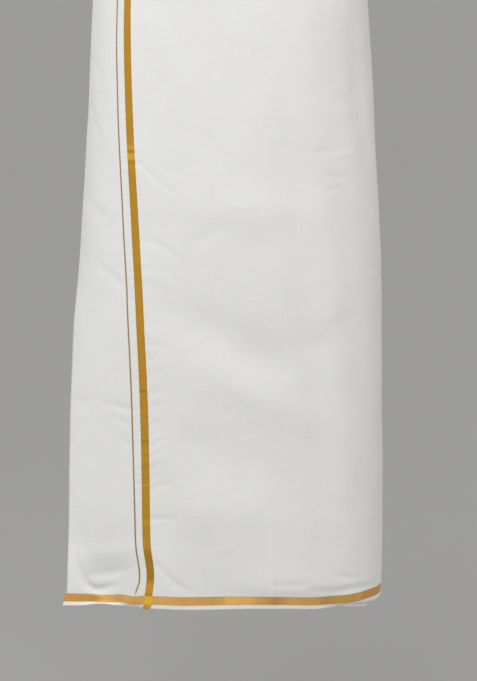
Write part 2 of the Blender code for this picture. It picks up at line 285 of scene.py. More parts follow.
TRAILS = [
    # the dent beside the free edge runs down and bends round like the letter J
    through(5.0, (8, 866, 0), (9, 890, -1.2), (12, 912, -2.0), (19, 930, -2.9), (27, 943, -4.2),
            (37, 950, -5.0), (47, 948, -3.9), (57, 945, -1.8), (70, 942, 0)),
    through(7.0, (20, 930, 0), (30, 929, -1.0), (45, 928, -1.6), (64, 924, -1.7), (80, 918, -1.1),
            (94, 912, 0)),
    # low down, right of the band
    through(5.0, (112, 902, 0), (121, 911, -0.8), (135, 926, -1.2), (152, 939, -1.6), (164, 946, -0.7),
            (174, 950, 0)),
    through(3.2, (112, 849, 0), (119, 849, -0.7), (132, 848, -1.1), (146, 848, -0.9), (158, 848, 0)),
    through(3.6, (122, 863, 0), (131, 860, -0.5), (141, 855, -0.6), (150, 851, 0)),
    # the pressed crease that crosses the band at the top, and the drag line that leaves it
    through(3.2, (92, 376, 0), (104, 374, -0.4), (121, 374, -0.6), (129, 379, -0.6), (137, 387, -0.7),
            (152, 401, -0.7), (164, 410, -0.5), (174, 423, -0.2), (182, 434, 0)),
    through(3.2, (145, 376, 0), (153, 376, -0.5), (162, 377, -0.5), (170, 380, 0)),
    through(3.2, (155, 383, 0), (163, 384, -0.5), (175, 385, -0.5), (186, 387, 0)),
    # arcs right of the band, a third of the way down
    through(3.6, (112, 479, 0), (121, 477, -0.6), (133, 476, -0.9), (147, 482, -0.9), (163, 494, -0.6),
            (176, 505, 0)),
    through(3.6, (112, 492, 0), (122, 497, -0.4), (137, 506, -0.6), (153, 519, -0.6), (168, 531, -0.4),
            (180, 541, 0)),
    through(3.2, (112, 511, 0), (121, 512, -0.5), (137, 516, -0.5), (148, 521, 0)),
    through(3.2, (110, 533, 0), (118, 533, -0.6), (130, 532, -0.6), (140, 534, 0)),
    through(7.0, (188, 482, 0), (201, 474, -0.9), (216, 463, -0.9), (230, 452, 0)),
    # drag lines left of the thin gold line
    through(7.0, (36, 236, 0), (50, 246, -0.6), (66, 277, -0.7), (74, 300, 0)),
    through(7.0, (24, 288, 0), (35, 299, -0.6), (54, 331, -0.7), (62, 356, 0)),
    through(8.0, (22, 414, 0), (34, 427, -0.6), (49, 438, -0.7), (68, 449, -0.7), (74, 463, -0.5),
            (78, 478, 0)),
    through(7.0, (4, 476, 0), (12, 490, -0.6), (24, 503, -0.8), (28, 520, -0.6), (30, 538, 0)),
    through(6.0, (44, 506, 0), (55, 514, -0.7), (73, 523, -0.9), (85, 535, -0.9), (96, 545, -0.5),
            (104, 552, 0)),
    # the dent across the thin line, and a soft patch near the free edge
    through(4.6, (52, 694, 0), (64, 696, -0.6), (78, 700, -1.1), (90, 702, -0.8), (98, 704, 0)),
    through(8.0, (2, 694, 0), (12, 695, -0.8), (26, 700, -0.8), (40, 706, 0)),
    # short strokes that lean away from the band, two thirds of the way down
    through(3.0, (112, 616, 0), (120, 612, -0.9), (140, 616, -0.9), (150, 620, 0)),
    through(3.0, (108, 690, 0), (119, 684, -0.9), (131, 676, -1.1), (140, 672, 0)),
    through(3.0, (110, 706, 0), (119, 700, -0.9), (134, 695, -0.7), (144, 692, 0)),
    through(3.2, (110, 730, 0), (119, 725, -0.9), (130, 717, -0.9), (140, 713, 0)),
    through(3.0, (110, 756, 0), (119, 751, -0.7), (136, 741, -0.9), (146, 737, 0)),
    through(3.0, (110, 786, 0), (118, 782, -0.9), (128, 775, -0.9), (138, 770, 0)),
    through(3.2, (118, 809, 0), (129, 805, -0.9), (140, 801, -0.9), (150, 798, 0)),
    through(4.0, (112, 588, 0), (120, 586, -0.7), (132, 588, -0.6), (142, 591, 0)),
    through(4.0, (110, 640, 0), (118, 636, -0.9), (130, 630, -0.8), (140, 626, 0)),
    through(4.0, (110, 663, 0), (118, 658, -0.9), (130, 651, -0.8), (140, 647, 0)),
    # and finer ones between them
    through(3.0, (112, 700, 0), (118, 696, -0.6), (126, 690, -0.6), (133, 686, 0)),
    through(3.0, (112, 718, 0), (119, 713, -0.7), (128, 706, -0.6), (136, 701, 0)),
    through(3.0, (112, 743, 0), (119, 738, -0.8), (127, 732, -0.6), (134, 728, 0)),
    through(3.0, (112, 771, 0), (119, 766, -0.8), (129, 759, -0.6), (138, 754, 0)),
    through(3.0, (112, 797, 0), (119, 793, -0.7), (127, 788, -0.5), (134, 785, 0)),
    # and left of the thin gold line, leaning the other way
    through(3.0, (72, 712, 0), (79, 717, -0.6), (86, 723, -0.7), (93, 727, 0)),
    through(3.0, (74, 738, 0), (80, 744, -0.6), (87, 750, -0.7), (94, 754, 0)),
    through(3.0, (76, 768, 0), (82, 773, -0.5), (88, 779, -0.6), (94, 783, 0)),
    # pressed lines at the upper right
    through(4.0, (334, 359, 0), (350, 358, -0.3), (376, 359, -0.5), (386, 359, 0)),
    through(4.0, (378, 363, 0), (388, 363, 0.4), (411, 364, 0.5), (424, 364, 0)),
    through(5.0, (382, 288, 0), (392, 288, -0.6), (404, 288, -0.5), (414, 289, 0)),
    through(5.0, (358, 392, 0), (371, 391, -0.4), (397, 394, -0.5), (408, 396, 0)),
    through(4.0, (366, 408, 0), (376, 408, -0.5), (385, 408, -0.5), (394, 408, 0)),
    through(6.0, (336, 624, 0), (349, 612, -0.4), (366, 592, -0.5), (400, 575, -0.4), (416, 570, 0)),
    # the upright crease pressed into the front, strongest at the hem
    through(2.8, (281, 790, 0), (281, 840, 0.2), (280, 890, 0.5), (280, 930, 1.1), (279, 975, 1.5)),
    # wrinkles above the border at the lower right
    through(4.0, (270, 939, 0), (282, 938, -1.0), (317, 939, -1.2), (334, 940, 0)),
    through(4.0, (356, 929, 0), (368, 929, -0.8), (386, 933, -0.9), (402, 935, 0)),
    through(4.4, (314, 947, 0), (334, 947, -0.7), (358, 949, -1.1), (390, 948, -1.5), (404, 948, -1.4),
            (422, 949, -1.0), (436, 950, 0)),
    through(4.0, (350, 958, 0), (364, 955, -0.9), (377, 952, -0.9), (390, 948, 0)),
]


def trail_rise(a, d, trail):
    """rise * exp(-(distance / half_width)^2), with both taken at the nearest place on the trail."""
    path = np.array(trail.path, float)
    nearest, rise = np.full(a.shape, np.inf), np.zeros(a.shape)
    for start, end in zip(path[:-1], path[1:]):
        step = end[:2] - start[:2]
        share = np.clip(((a - start[0]) * step[0] + (d - start[1]) * step[1]) / (step @ step), 0, 1)
        far = np.hypot(a - start[0] - share * step[0], d - start[1] - share * step[1])
        rise = np.where(far < nearest, start[2] + share * (end[2] - start[2]), rise)
        nearest = np.minimum(nearest, far)
    return rise * np.exp(-((nearest / trail.half_width) ** 2))


print(len(TRAILS), "trails on the front")

# %% [markdown]
# The photograph doesn't show the sides and the back. The same cloth falls there, so they get long falls
# and a few drag lines and pressed lines of the same kind, as simple leaning bells.

# %% Creases of the sides and back, with the bow of the middle and a power of 2 for soft, less for crisp
Crease = namedtuple("Crease", "along drop half_length half_width turn rise bow power")
CREASES = [
    # down the right side
    Crease(430, 300, 120, 16, 6, -2.2, 10, 2.0),
    Crease(462, 420, 150, 18, 4, 2.6, 8, 2.0),
    Crease(486, 640, 190, 15, -3, -2.9, -8, 2.0),
    Crease(520, 560, 170, 17, 2, 2.9, 10, 2.0),
    Crease(500, 800, 120, 13, 3, 2.2, 5, 2.0),
    Crease(545, 780, 150, 14, -2, -2.9, 6, 2.0),
    # drag lines across the upper back
    Crease(610, 210, 70, 12, 62, -2.6, 10, 2.0),
    Crease(640, 262, 80, 13, 68, 2.4, 12, 2.0),
    Crease(700, 300, 60, 11, 80, -1.9, 8, 2.0),
    Crease(790, 300, 62, 12, -76, -2.1, 8, 2.0),
    Crease(852, 255, 76, 13, -66, 2.4, 12, 2.0),
    Crease(880, 200, 66, 11, -60, -2.4, 10, 2.0),
    Crease(738, 190, 60, 12, 4, -2.4, 0, 2.0),
    # shorter falls between the long ones down the back
    Crease(636, 560, 130, 13, 4, -2.4, 6, 2.0),
    Crease(703, 520, 120, 13, 1, 2.6, 5, 2.0),
    Crease(770, 560, 140, 13, -2, 2.4, 6, 2.0),
    Crease(775, 820, 90, 13, 2, -2.1, 4, 2.0),
    Crease(850, 560, 120, 13, -4, -2.2, 6, 2.0),
    Crease(640, 850, 80, 13, -2, 1.9, 4, 2.0),
    Crease(930, 480, 150, 14, -6, 2.4, 8, 2.0),
    Crease(955, 700, 160, 13, 2, -2.4, 6, 2.0),
    Crease(985, 860, 90, 13, 0, 2.1, 4, 2.0),
    # pressed lines across the back, from folding
    Crease(690, 385, 60, 4.0, 90, 1.1, 0, 1.8),
    Crease(840, 740, 50, 4.0, 90, 1.1, 0, 1.8),
    Crease(600, 880, 44, 3.4, 90, 1.0, 0, 1.8),
]

# %% Pulls, turned edges and the free corner
# Places where the cloth is pulled sideways: how far, and over what length and width
Pull = namedtuple("Pull", "along drop half_length half_width shift")
PULLS = [
    Pull(100, 928, 26, 48, 4.8),
    Pull(112, 905, 20, 26, 1.0),
]

# Where the bottom edge turns in, in degrees, over what half width and from what height down;
# outwards where the degrees are negative
EdgeTurn = namedtuple("EdgeTurn", "along half_width degrees height")
EDGE_TURNS = [
    # the white edge
    EdgeTurn(0, 30, -20, 6.6),
    EdgeTurn(49, 26, -80, 6.6),
    EdgeTurn(89, 17, 40, 6.6),
    EdgeTurn(316, 50, -10, 6.6),
    EdgeTurn(386, 24, 55, 6.6),
    EdgeTurn(700, 200, 25, 6.6),
    # the stiff border, and the turn beneath it
    EdgeTurn(46, 50, 22, 18.0),
    EdgeTurn(316, 84, 13, 34.0),
    EdgeTurn(1345, 84, 13, 34.0),
    EdgeTurn(1428, 34, -30, 6.6),
]
EDGE_SOFTNESS = 0.12

# The stiff border at the free corner is a little longer than the cloth above it, and juts out
CORNER_JUT = 2.6
CORNER_FLARE = 3.9
CORNER_HEIGHT = 18.0
CORNER_FADE = 26.0
CORNER_STEP = 3.0


def corner_jut(along, height):
    """Sideways shift of the free corner: all of it below the border's top, with a soft step there."""
    a, h = along / MM, height / MM
    step = np.clip((CORNER_HEIGHT - h) / CORNER_STEP + 0.5, 0, 1)
    step = step * step * (3 - 2 * step)
    flare = CORNER_FLARE * np.clip(1 - h / CORNER_HEIGHT, 0, 1)
    return -(CORNER_JUT + flare) * step * np.exp(-((a / CORNER_FADE) ** 2)) * MM


def turned_edge(along, height):
    """How far in and up the edge turns: below * sin and below * (1 - cos), each with a soft start."""
    a = along / MM
    inward, upward = np.zeros_like(height), np.zeros_like(height)
    for turn in EDGE_TURNS:
        below = np.clip(turn.height - height / MM, 0, None)
        below = below**2 / (below + EDGE_SOFTNESS * turn.height)
        angle = math.radians(turn.degrees) * np.exp(-(((a - turn.along) / turn.half_width) ** 2))
        inward += below * np.sin(angle) * MM
        upward += below * (1 - np.cos(angle)) * MM
    return inward, upward


def bell(a, d, mark, bow=0.0, power=2.0):
    """exp(-(length^2 + |width|^power)), in the mark's own leaning axes, its middle bowed sideways."""
    c, s = math.cos(math.radians(mark.turn)), math.sin(math.radians(mark.turn))
    lengthwise = (d * c + a * s) / mark.half_length
    across = (a * c - d * s - bow * lengthwise**2) / mark.half_width
    return np.exp(-(lengthwise**2) - np.abs(across) ** power)


def relief(along, outside, drops):
    """The folds and creases added up; what lies beneath a large fold or a crease takes its share of it."""
    total = np.zeros_like(drops)
    a, b, d = along / MM, outside / MM, drops / MM
    for fold in LARGE_FOLDS:
        total += fold.rise * bell(a - fold.along, d - fold.drop, fold)
        total += fold.rise * fold.beneath * bell(b - fold.along, d - fold.drop, fold)
    for trail in TRAILS:
        total += trail_rise(a, d, trail)
    for crease in CREASES:
        for place in (a, b):
            shape = bell(place - crease.along, d - crease.drop, crease, crease.bow, crease.power)
            total += crease.rise * shape
    return total * MM


print(len(LARGE_FOLDS), "large folds and", len(TRAILS) + len(CREASES), "creases")

# %% [markdown]
# Under the roll the cloth is gathered a little, because the waist is narrower than what is below. Those
# gathers are ripples that die away within about 100 mm. They are a sum of a few waves whose phases are
# drawn once from a fixed seed, so no two look the same and the result never changes.

# %% Gathers below the roll, and a faint unevenness everywhere
GATHER_DEPTH = 2.08
GATHER_START = 14.0
GATHER_REACH = 62.0
GATHER_LEAN = 0.25
GATHER_WAVES = (23.0, 31.0, 47.0, 74.0)
BroadWave = namedtuple("BroadWave", "long tall rise")
BROAD_WAVES = [
    BroadWave(210, 330, 0.50),
    BroadWave(135, 190, 0.32),
    BroadWave(88, 121, 0.18),
    BroadWave(57, 83, 0.10),
]
ripple_draw = np.random.default_rng(7)


def gathers(along, drops):
    """Depth * mean of leaning sine waves * exp(-(drop / reach)^2), from nothing at the waist's edge."""
    a, d = along / MM, drops / MM
    wave = np.zeros_like(d)
    for length in GATHER_WAVES:
        phase = ripple_draw.uniform(0, 2 * math.pi)
        lean = ripple_draw.uniform(-GATHER_LEAN, GATHER_LEAN)
        wave += np.sin(2 * math.pi * (a + lean * d) / length + phase) / len(GATHER_WAVES)
    start = np.clip(d / GATHER_START, 0, 1)
    return GATHER_DEPTH * MM * wave * start * np.exp(-((d / GATHER_REACH) ** 2))


def unevenness(along, drops):
    """Sum of rise * sine along * sine down: very shallow, so that no part is machine-flat."""
    a, d = along / MM, drops / MM
    total = np.zeros_like(d)
    for wave in BROAD_WAVES:
        p, q = ripple_draw.uniform(0, 2 * math.pi, 2)
        lengthwise = np.sin(2 * math.pi * a / wave.long + p)
        downward = np.sin(2 * math.pi * d / wave.tall + q)
        total += wave.rise * lengthwise * downward
    return total * MM


# %% [markdown]
# ## Building the sheet
#
# The grid has about 3.5 mm between points across the front, where the light picks out every mark, and
# wider steps where the cloth is hidden. Its rows crowd together at the heights that have fine creases.
# The surface's own normals say which way a fold rises. The UV map is in metres on the flat cloth, so
# the weave and the bands can be drawn in their real sizes and bend with the cloth.

# %% Lay out the grid
Stretch = namedtuple("Stretch", "start end steps")
ROWS = [
    Stretch(0.000, 0.060, 9),
    Stretch(0.060, 0.340, 42),
    Stretch(0.340, 0.420, 24),
    Stretch(0.420, 0.550, 30),
    Stretch(0.550, 0.680, 25),
    Stretch(0.680, 0.810, 44),
    Stretch(0.810, 0.860, 18),
    Stretch(0.860, 0.953, 36),
    Stretch(0.953, HEM_DROP, 12),
]
COLUMNS = [
    Stretch(0.000, 0.272, 80),
    Stretch(0.272, 0.290, 10),
    Stretch(0.290, 0.470, 38),
    Stretch(0.470, 1.010, 50),
    Stretch(1.010, CLOTH_LENGTH, 28),
]
THICKNESS = 0.6 * MM


def grid_lines(stretches):
    """Even steps through each stretch in turn, and the end of the last one."""
    steps = [np.linspace(s.start, s.end, s.steps, endpoint=False) for s in stretches]
    return np.concatenate(steps + [[stretches[-1].end]])


def cloth_grid():
    """Places along the cloth, levels down it, and each point's true drop and height over the hem.

    The drop is the level plus its share of how much lower the hem hangs there.
    """
    along, levels = grid_lines(COLUMNS), grid_lines(ROWS)
    share = levels / HEM_DROP
    lower = smooth(HEM_LINE, "along", "lower", along) * MM
    drops = levels[:, None] + share[:, None] * lower
    height = (1 - share)[:, None] * (HEM_DROP + lower)
    return along, levels, drops, height


def cloth_points(along, levels, drops, height):
    """Winding, then sideways pulls along the surface, then relief along its normals, then the edge."""
    points = np.empty(drops.shape + (3,))
    points[..., :2] = [plan(along, level) for level in levels]
    points[..., 2] = -drops
    down = np.gradient(points, axis=0)
    across = np.gradient(points, axis=1)
    across /= np.linalg.norm(across, axis=2, keepdims=True)
    outward = np.cross(down, across)
    outward /= np.linalg.norm(outward, axis=2, keepdims=True)
    outside = np.array([place_outside(along, level) for level in levels])
    wide = np.broadcast_to(along, drops.shape)
    shift = corner_jut(wide, height)
    for pull in PULLS:
        a = (wide / MM - pull.along) / pull.half_width
        d = (drops / MM - pull.drop) / pull.half_length
        shift += pull.shift * MM * np.exp(-(a**2) - d**2)
    inward, upward = turned_edge(wide, height)
    rise = relief(wide, outside, drops) + gathers(wide, drops) + unevenness(wide, drops) - inward
    points += across * shift[..., None] + outward * rise[..., None]
    points[..., 2] += upward
    return points


along, levels, drops, height = cloth_grid()
cloth_surface = cloth_points(along, levels, drops, height)
print("grid:", cloth_surface.shape[:2], "first step", round(float(along[1]) / MM, 1), "mm")


# %% Turn a grid of points into a mesh
def cell_corners(r, c, r2, c2, columns):
    """The four corners of each cell, as row * columns + column, in an order that faces outwards."""
    corners = (r * columns + c, r2 * columns + c, r2 * columns + c2, r * columns + c2)
    return np.stack(np.broadcast_arrays(*corners), axis=-1)


def grid_object(name, points, uv, closed=False):
    """Quads between neighbours of a grid, wrapped round both ways if closed, with a UV in metres."""
    rows, columns = points.shape[:2]
    r = np.arange(rows if closed else rows - 1)[:, None]
    c = np.arange(columns if closed else columns - 1)[None, :]
    quads = cell_corners(r, c, (r + 1) % rows, (c + 1) % columns, columns).reshape(-1, 4)
    corners = cell_corners(r, c, r + 1, c + 1, columns + 1).reshape(-1)
    mesh = bpy.data.meshes.new(name)
    mesh.vertices.add(rows * columns)
    mesh.vertices.foreach_set("co", points.reshape(-1).astype(np.float32))
    mesh.loops.add(quads.size)
    mesh.loops.foreach_set("vertex_index", quads.reshape(-1).astype(np.int32))
    mesh.polygons.add(len(quads))
    mesh.polygons.foreach_set("loop_start", np.arange(0, quads.size, 4, dtype=np.int32))
    mesh.update(calc_edges=True)
    layer = mesh.uv_layers.new(name="cloth_m")
    layer.data.foreach_set("uv", uv.reshape(-1, 2)[corners].reshape(-1).astype(np.float32))
    mesh.validate()
    mesh.shade_smooth()
    obj = bpy.data.objects.new(name, mesh)
    bpy.context.scene.collection.objects.link(obj)
    return obj


def make_cloth(surface, along, height):
    """The wound cloth as one sheet with a thin wall; its UV is the place along and the height."""
    rows, columns = height.shape
    uv = np.empty((rows + 1, columns + 1, 2))
    uv[:rows, :columns, 0] = along
    uv[:rows, :columns, 1] = height
    uv[rows], uv[:, columns] = uv[rows - 1], uv[:, columns - 1]
    cloth = grid_object("wound_cloth", surface, uv)
    wall = cloth.modifiers.new("ply", "SOLIDIFY")
    wall.thickness = THICKNESS
    wall.offset = 0.0
    wall.use_rim = True
    return cloth


wound_cloth = make_cloth(cloth_surface, along, height)
print("the sheet has", len(wound_cloth.data.polygons), "quads on each side")

# %% [markdown]
# ## The rolled top
#
# At the waist the top of the cloth is rolled outwards on itself. It looks like a soft rope of cloth: a
# rounded belt, with the edge of the last turn showing as a step and slanting creases where the plies
# were dragged round. A profile is carried once round the waist beside the cloth's outer turn. The
# creases are waves that lean with the roll and fade out where it sits against the cloth.

# %% Profile of the roll, out from the outer turn and up from the waist, in millimetres
Roll = namedtuple("Roll", "out up")
ROLL_PROFILE = [
    Roll(1.1, 0.3),
    Roll(1.1, -18.0),
    Roll(3.5, -22.0),
    Roll(7.0, -23.5),
    Roll(10.5, -20.5),
    Roll(12.6, -13.0),
    Roll(13.2, -3.0),
    Roll(12.6, 7.0),
    Roll(10.5, 14.5),
    Roll(6.5, 19.0),
    Roll(1.5, 20.0),
    Roll(-3.0, 16.5),
    Roll(-4.6, 9.0),
    Roll(-4.6, 0.3),
]
ROLL_SEAT = 2.0
ROLL_SEAT_FADE = 4.0
ROLL_BACK_SHARE = 0.72
ROLL_STATIONS = 420
ROLL_ROUND = 72
ROLL_WAVES = (17.0, 23.0, 29.0, 41.0, 67.0)
ROLL_LEANS = (0.3, 1.1)
ROLL_CREASE = 0.75
ROLL_LIFT_UP = 0.25
ROLL_HEIGHT_UV = 0.3

# The last turn's edge, as a share of the way round the profile, and the groove beyond it
STEP_PLACE = 0.50
STEP_DRIFT = 0.035
STEP_WAVER = 0.02
STEP_DEPTH = 1.1
STEP_FADE = 6.0
GROOVE_BEYOND = 0.2
GROOVE_DEPTH = 0.8
GROOVE_WIDTH = 1.6


def roll_profile():
    """The profile as ROLL_ROUND even steps round its outline, with the way round to each and in all."""
    out = np.array([p.out for p in ROLL_PROFILE])
    up = np.array([p.up for p in ROLL_PROFILE])
    closed_out, closed_up = np.append(out, out[0]), np.append(up, up[0])
    length = np.concatenate([[0], np.cumsum(np.hypot(np.diff(closed_out), np.diff(closed_up)))])
    at = np.linspace(0, length[-1], ROLL_ROUND, endpoint=False)
    return np.interp(at, length, closed_out), np.interp(at, length, closed_up), at, length[-1]


def roll_lift(s, t, whole, around):
    """How far the roll's surface rises: leaning sine waves, less a step that fades and a groove.

    s is the way round the waist out of whole, t the way round the profile out of around.
    """
    crease = np.zeros((ROLL_ROUND, ROLL_STATIONS))
    for wave in ROLL_WAVES:
        count = round(whole / wave)
        phase, lean = ripple_draw.uniform(0, 2 * math.pi), ripple_draw.uniform(*ROLL_LEANS)
        crease += np.sin(2 * math.pi * count * (s + lean * t) / whole + phase)
    crease *= ROLL_CREASE / math.sqrt(len(ROLL_WAVES))
    turned = 2 * math.pi * s / whole
    edge = STEP_PLACE + STEP_DRIFT * np.sin(turned + 1.0) + STEP_WAVER * np.sin(3 * turned)
    past = (t / around - edge) * around
    step = STEP_DEPTH * np.exp(-np.clip(past, 0, None) / STEP_FADE) * (past > 0)
    groove = GROOVE_DEPTH * np.exp(-(((past - GROOVE_BEYOND * around) / GROOVE_WIDTH) ** 2))
    return crease - step - groove


def make_roll():
    """The profile carried round the waist, a little thinner at the back, and lifted by its creases."""
    out, up, at, around = roll_profile()
    x, y, _ = body_plan(0.0)
    path = np.concatenate([[0], np.cumsum(np.hypot(np.diff(x), np.diff(y)))])
    first, last = np.interp((-math.pi, math.pi), TURN, path)
    station = np.linspace(first, last, ROLL_STATIONS, endpoint=False)
    angle = np.interp(station, path, TURN)
    fullness = 1 - (1 - ROLL_BACK_SHARE) * np.clip(np.interp(station, path, y) / y.max(), 0, 1)
    whole = (last - first) / MM
    lift = roll_lift((station - first)[None, :] / MM, at[:, None], whole, around)
    lift *= np.clip((out[:, None] - ROLL_SEAT) / ROLL_SEAT_FADE, 0, 1)
    points = np.empty((ROLL_ROUND, ROLL_STATIONS, 3))
    for p in range(ROLL_ROUND):
        x, y, heading = body_plan(max(0.0, -up[p] * MM))
        facing = np.interp(angle, TURN, heading)
        reach = (out[p] * np.where(out[p] > ROLL_SEAT, fullness, 1) + lift[p]) * MM
        points[p, :, 0] = np.interp(angle, TURN, x) + reach * np.sin(facing)
        points[p, :, 1] = np.interp(angle, TURN, y) - reach * np.cos(facing)
        points[p, :, 2] = (up[p] + ROLL_LIFT_UP * lift[p]) * MM
    uv = np.empty((ROLL_ROUND + 1, ROLL_STATIONS + 1, 2))
    uv[..., 0] = np.linspace(0, whole, ROLL_STATIONS + 1) * MM
    uv[..., 1] = (ROLL_HEIGHT_UV + np.linspace(0, around, ROLL_ROUND + 1) * MM)[:, None]
    return grid_object("rolled_top", points, uv, closed=True)


rolled_top = make_roll()
print("the roll has", len(rolled_top.data.polygons), "quads")

# %% [markdown]
# ## The woven cotton and its gold
#
# The cloth is a fine plain weave in bleached cotton, starched and ironed, so it is matt with a faint
# sheen. The gold is not printed: it is metal-wrapped thread, woven in. Along the hem the gold threads
# run with the length of the cloth and the white cross threads pass over them, which makes that band
# paler. Near the free end the gold threads are the cross threads and lie dense and dark. Where both
# meet, the two golds cross and shine brightest. The material repeats this logic: it reads how far a
# place is from the end and from the hem, and picks the thread that lies there.

# %% Sizes of the weave in metres, and its colours
BAND_WIDTH = 0.0107
BAND_DRIFT = 0.0018
THIN_ALONG = 0.096
THIN_WIDTH = 0.0020
SELVEDGE = 0.0064
# width of the painted highlight along the cut end
END_HIGHLIGHT_WIDTH = 0.0012
HEM_BAND_WIDTH = 0.0117
HEM_MIDDLE = SELVEDGE + HEM_BAND_WIDTH / 2
HEM_TOP = SELVEDGE + HEM_BAND_WIDTH

# From one height to the next, how far the thin line lies nearer the end than THIN_ALONG
Drift = namedtuple("Drift", "low high at_low at_high")
THIN_DRIFTS = [
    Drift(0.10, 0.24, 0.0, 0.0015),
    Drift(0.45, 0.60, 0.0, 0.0004),
    Drift(HEM_TOP, HEM_TOP + 0.022, 0.0034, 0.0),
]

# How far beyond a band's edge a tone reaches, and how softly it ends there
Edge = namedtuple("Edge", "beyond soft")
GOLD_EDGE = Edge(0.0, 0.00035)
THIN_EDGE = Edge(0.0, 0.0004)
CREAM_EDGE = Edge(0.0010, 0.0005)
CREAM_THIN_EDGE = Edge(0.0010, 0.0006)
CREAM_HEM_EDGE = Edge(0.0009, 0.0005)
CORE_EDGE = Edge(-0.0010, 0.0006)
CORE_HEM_EDGE = Edge(-0.0012, 0.0008)

WHITE = (0.835, 0.836, 0.830)
WHITE_RANGE = (0.965, 1.02)
# paler white for the painted highlight along the hem's white edge and the cut end
EDGE_HIGHLIGHT_WHITE = (0.860, 0.858, 0.840)
CREAM = (0.880, 0.820, 0.680)
DARK_GOLD = (0.580, 0.305, 0.028)
PALE_GOLD = (0.850, 0.490, 0.140)
ORANGE_GOLD = (0.880, 0.430, 0.115)
BRIGHT_GOLD = (0.980, 0.620, 0.045)
DULL_GOLD = (0.760, 0.470, 0.090)
THIN_GOLD = (0.340, 0.250, 0.140)
ROUGHNESS = (0.80, 0.88)
GOLD_SMOOTHER = 0.36
GOLD_METAL = 0.45

# Marks and threads to the metre, along the cloth and up it where they differ
THREADS = 3000
CLOUDS = 9.0
CRUMPLES = 38.0
FRAYS = 1400.0
SLUBS = (14.0, 900.0)
STREAKS = (60.0, 2600.0)
PATCHES = (26.0, 4.0)
PUCKERS = (40.0, 150.0)

# Depths of the relief that is too fine to model
CRUMPLE_DEPTH = 0.0009
SLUB_DEPTH = 0.00025
THREAD_DEPTH = 0.00003
PUCKER_DEPTH = 0.0008
PUCKER_REACH = 0.010
GOLD_DEPTH = 0.00022
FRAY_WIDTH = 0.0007


